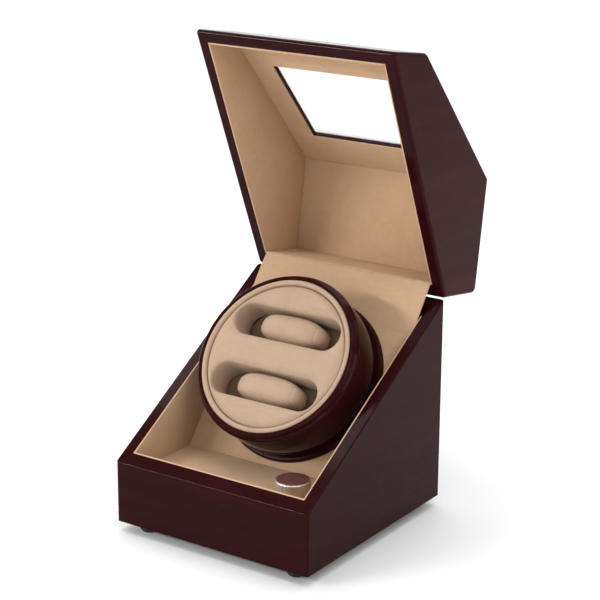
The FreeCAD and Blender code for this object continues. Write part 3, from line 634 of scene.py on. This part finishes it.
PILLOW = Vector((28.2, 10.5, 14.3)) * MM      # half length, width and height before it is filled
BLANK_ROWS, BLANK_AROUND = 48, 36
ROUNDNESS = 0.55              # of a section: 1 is round, 0 is square
END_SPREAD = 0.8              # a smaller power brings the rows closer together at the ends
DOME_START, DOME_ROUND = 3.2, 0.42     # powers: how late the ends narrow, and how bluntly
CLOTH_GRID = 1.5 * MM         # between the points that the solver moves
PILLOW_TRAVEL = 1.1 * MM
PILLOW_CLEAR = 0.2 * MM       # above the floor of its slot, and cut off its underside
END_SEAM = 0.80               # where the end panels are sewn on, as a share of the half length
SEAM_HELD = 0.9 * MM          # the cloth is held this near to a seam
SEAM_WIDTH = 0.55 * MM
SEAM_DEPTH = 0.45 * MM
PUCKER = 0.10 * MM
PUCKER_REACH = 3              # times the seam's width
STITCHES = 26                 # round each end seam


def squared(part):
    """A sine or cosine pushed out towards 1, for a section with soft corners."""
    return math.copysign(abs(part) ** ROUNDNESS, part)


def pillow_blank():
    """Sewn cover before filling: a bar with soft long edges and domed end panels."""
    bm = bmesh.new()
    rings = []
    for i in range(BLANK_ROWS + 1):
        reach = math.sin(math.pi * (i / BLANK_ROWS - 0.5))
        end = math.copysign(abs(reach) ** END_SPREAD, reach)
        narrow = (1 - abs(end) ** DOME_START) ** DOME_ROUND if abs(end) < 1 else 0
        turns = [2 * math.pi * j / BLANK_AROUND for j in range(BLANK_AROUND)]
        rings.append([bm.verts.new((PILLOW.x * end, PILLOW.y * squared(math.cos(turn)) * narrow,
                                    PILLOW.z * squared(math.sin(turn)) * narrow))
                      for turn in turns])
    skin(bm, rings, closed=True)
    bmesh.ops.remove_doubles(bm, verts=bm.verts, dist=WELD)
    bmesh.ops.recalc_face_normals(bm, faces=bm.faces)
    return bm


def sew_seams(piece):
    """Draw the cloth in along both end seams, with a small pucker at each stitch."""
    for vertex in piece.data.vertices:
        at = vertex.co
        off = (abs(at.x) - END_SEAM * PILLOW.x) / SEAM_WIDTH
        turn = math.atan2(at.z, at.y)
        pucker = math.exp(-(off / PUCKER_REACH) ** 2) * math.sin(STITCHES * turn)
        pull = SEAM_DEPTH * math.exp(-off * off) + PUCKER * pucker
        across = Vector((0, at.y, at.z))
        if across.length > pull:
            vertex.co -= across.normalized() * pull


def make_pillow(name, side, material):
    """Watch pillow: suede round a soft filling, pulled in at its end seams, flat underneath."""
    piece = new_piece(name + "_cover", pillow_blank(), material)
    add_modifier(piece, "REMESH", mode="VOXEL", voxel_size=CLOTH_GRID)
    apply_modifiers(piece)
    seam = END_SEAM * PILLOW.x
    inflate(piece, 14.0, PILLOW_TRAVEL, lambda at: abs(abs(at.x) - seam) < SEAM_HELD)
    add_modifier(piece, "SUBSURF", levels=1)
    apply_modifiers(piece)
    sew_seams(piece)
    flat = -PILLOW.z + PILLOW_CLEAR
    for vertex in piece.data.vertices:
        vertex.co.z = max(vertex.co.z, flat)
    middle = SLOT_FLOOR + PILLOW_CLEAR - flat
    piece.data.transform(ROTOR @ Matrix.Translation((0, side * SLOT_OFF, middle)))
    smooth(piece, 75)
    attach(piece, "pillow_" + name.split("_")[0])
    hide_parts(name)


# ---- camera, floor and light ---------------------------------------------------------------------

CAMERA_AT = Vector((0.74426, -1.06874, 0.57270))
CAMERA_YAW, CAMERA_PITCH, CAMERA_ROLL = 34.266, 17.1285, 0.364
LENS = 112.3
FLOOR_HALF = 6.0
FLOOR_Z = -0.2 * MM
SKY_STRENGTH = 0.50
BOX_MIDDLE = (0, 0, 0.15)
LIGHTS = {                    # place, target, width and height of the lamp, power
    "key": ((-0.98, -1.45, 0.85), BOX_MIDDLE, (0.80, 0.08), 16),
    "glint": ((-0.98, -1.45, 0.90), BOX_MIDDLE, (0.90, 0.09), 28),
    "fill": ((1.4, -0.6, 1.2), BOX_MIDDLE, (0.9, 0.9), 8),
    "front": ((0.75, -1.6, 0.30), (0, 0.1, 0.28), (0.9, 0.6), 3.5),
    "strip": ((-1.0, 0.1, 1.1), BOX_MIDDLE, (0.2, 1.4), 3),
    "top": ((0.15, 0.3, 2.0), (0.15, 0.3, 0), (1.9, 2.3), 22),
    "far": ((-1.4, 2.6, 2.2), (-1.4, 2.6, 0), (3.5, 3.5), 50),
}


def place_camera():
    data = bpy.data.cameras.new("camera")
    data.sensor_width = 36
    data.lens = LENS
    camera = bpy.data.objects.new("camera", data)
    bpy.context.scene.collection.objects.link(camera)
    aim = Euler((math.radians(90 - CAMERA_PITCH), 0, math.radians(CAMERA_YAW))).to_matrix()
    roll = Matrix.Rotation(math.radians(CAMERA_ROLL), 3, "Z")
    camera.matrix_world = Matrix.Translation(CAMERA_AT) @ (aim @ roll).to_4x4()
    bpy.context.scene.camera = camera


def make_floor():
    s = Shader("paper")
    fleck = s.noise((3, 3, 3))
    s.set(Roughness=0.9, Specular_IOR_Level=0.1)
    paper = s.done(s.ramp(fleck, (0.3, (0.90, 0.90, 0.90)), (0.7, (0.92, 0.92, 0.92))))
    bm = bmesh.new()
    bmesh.ops.create_grid(bm, x_segments=8, y_segments=8, size=FLOOR_HALF)
    floor = new_piece("floor", bm, paper)
    floor.location.z = FLOOR_Z


def make_light():
    """White surroundings and soft lamps. The glint shows only in reflections."""
    world = bpy.data.worlds.new("studio")
    world.use_nodes = True
    sky = world.node_tree.nodes["Background"]
    sky.inputs["Color"].default_value = (*WHITE, 1)
    sky.inputs["Strength"].default_value = SKY_STRENGTH
    bpy.context.scene.world = world
    for name, (at, target, size, power) in LIGHTS.items():
        data = bpy.data.lights.new(name, "AREA")
        data.shape = "RECTANGLE"
        data.size, data.size_y = size
        data.energy = power
        light = bpy.data.objects.new(name, data)
        light.visible_diffuse = name != "glint"
        bpy.context.scene.collection.objects.link(light)
        aim = (Vector(target) - Vector(at)).to_track_quat("-Z", "Y")
        light.matrix_world = Matrix.Translation(at) @ aim.to_matrix().to_4x4()
    bpy.context.scene.view_settings.view_transform = "Standard"


place_camera()
make_floor()
make_light()
materials = {name: maker(name, *details) for name, (maker, *details) in MATERIALS.items()}
paint_nodes(materials)
lining, padding = materials["suede_lining"], materials["suede_cushion"]
for node, (body, backing) in LININGS.items():
    make_lining(node, body, lining)
make_hinge_cloth(lining)
make_cushion(padding)
make_slot_floor(padding)
make_collar(padding)
for name, side in (("upper_pillow", 1), ("lower_pillow", -1)):
    make_pillow(name, side, padding)
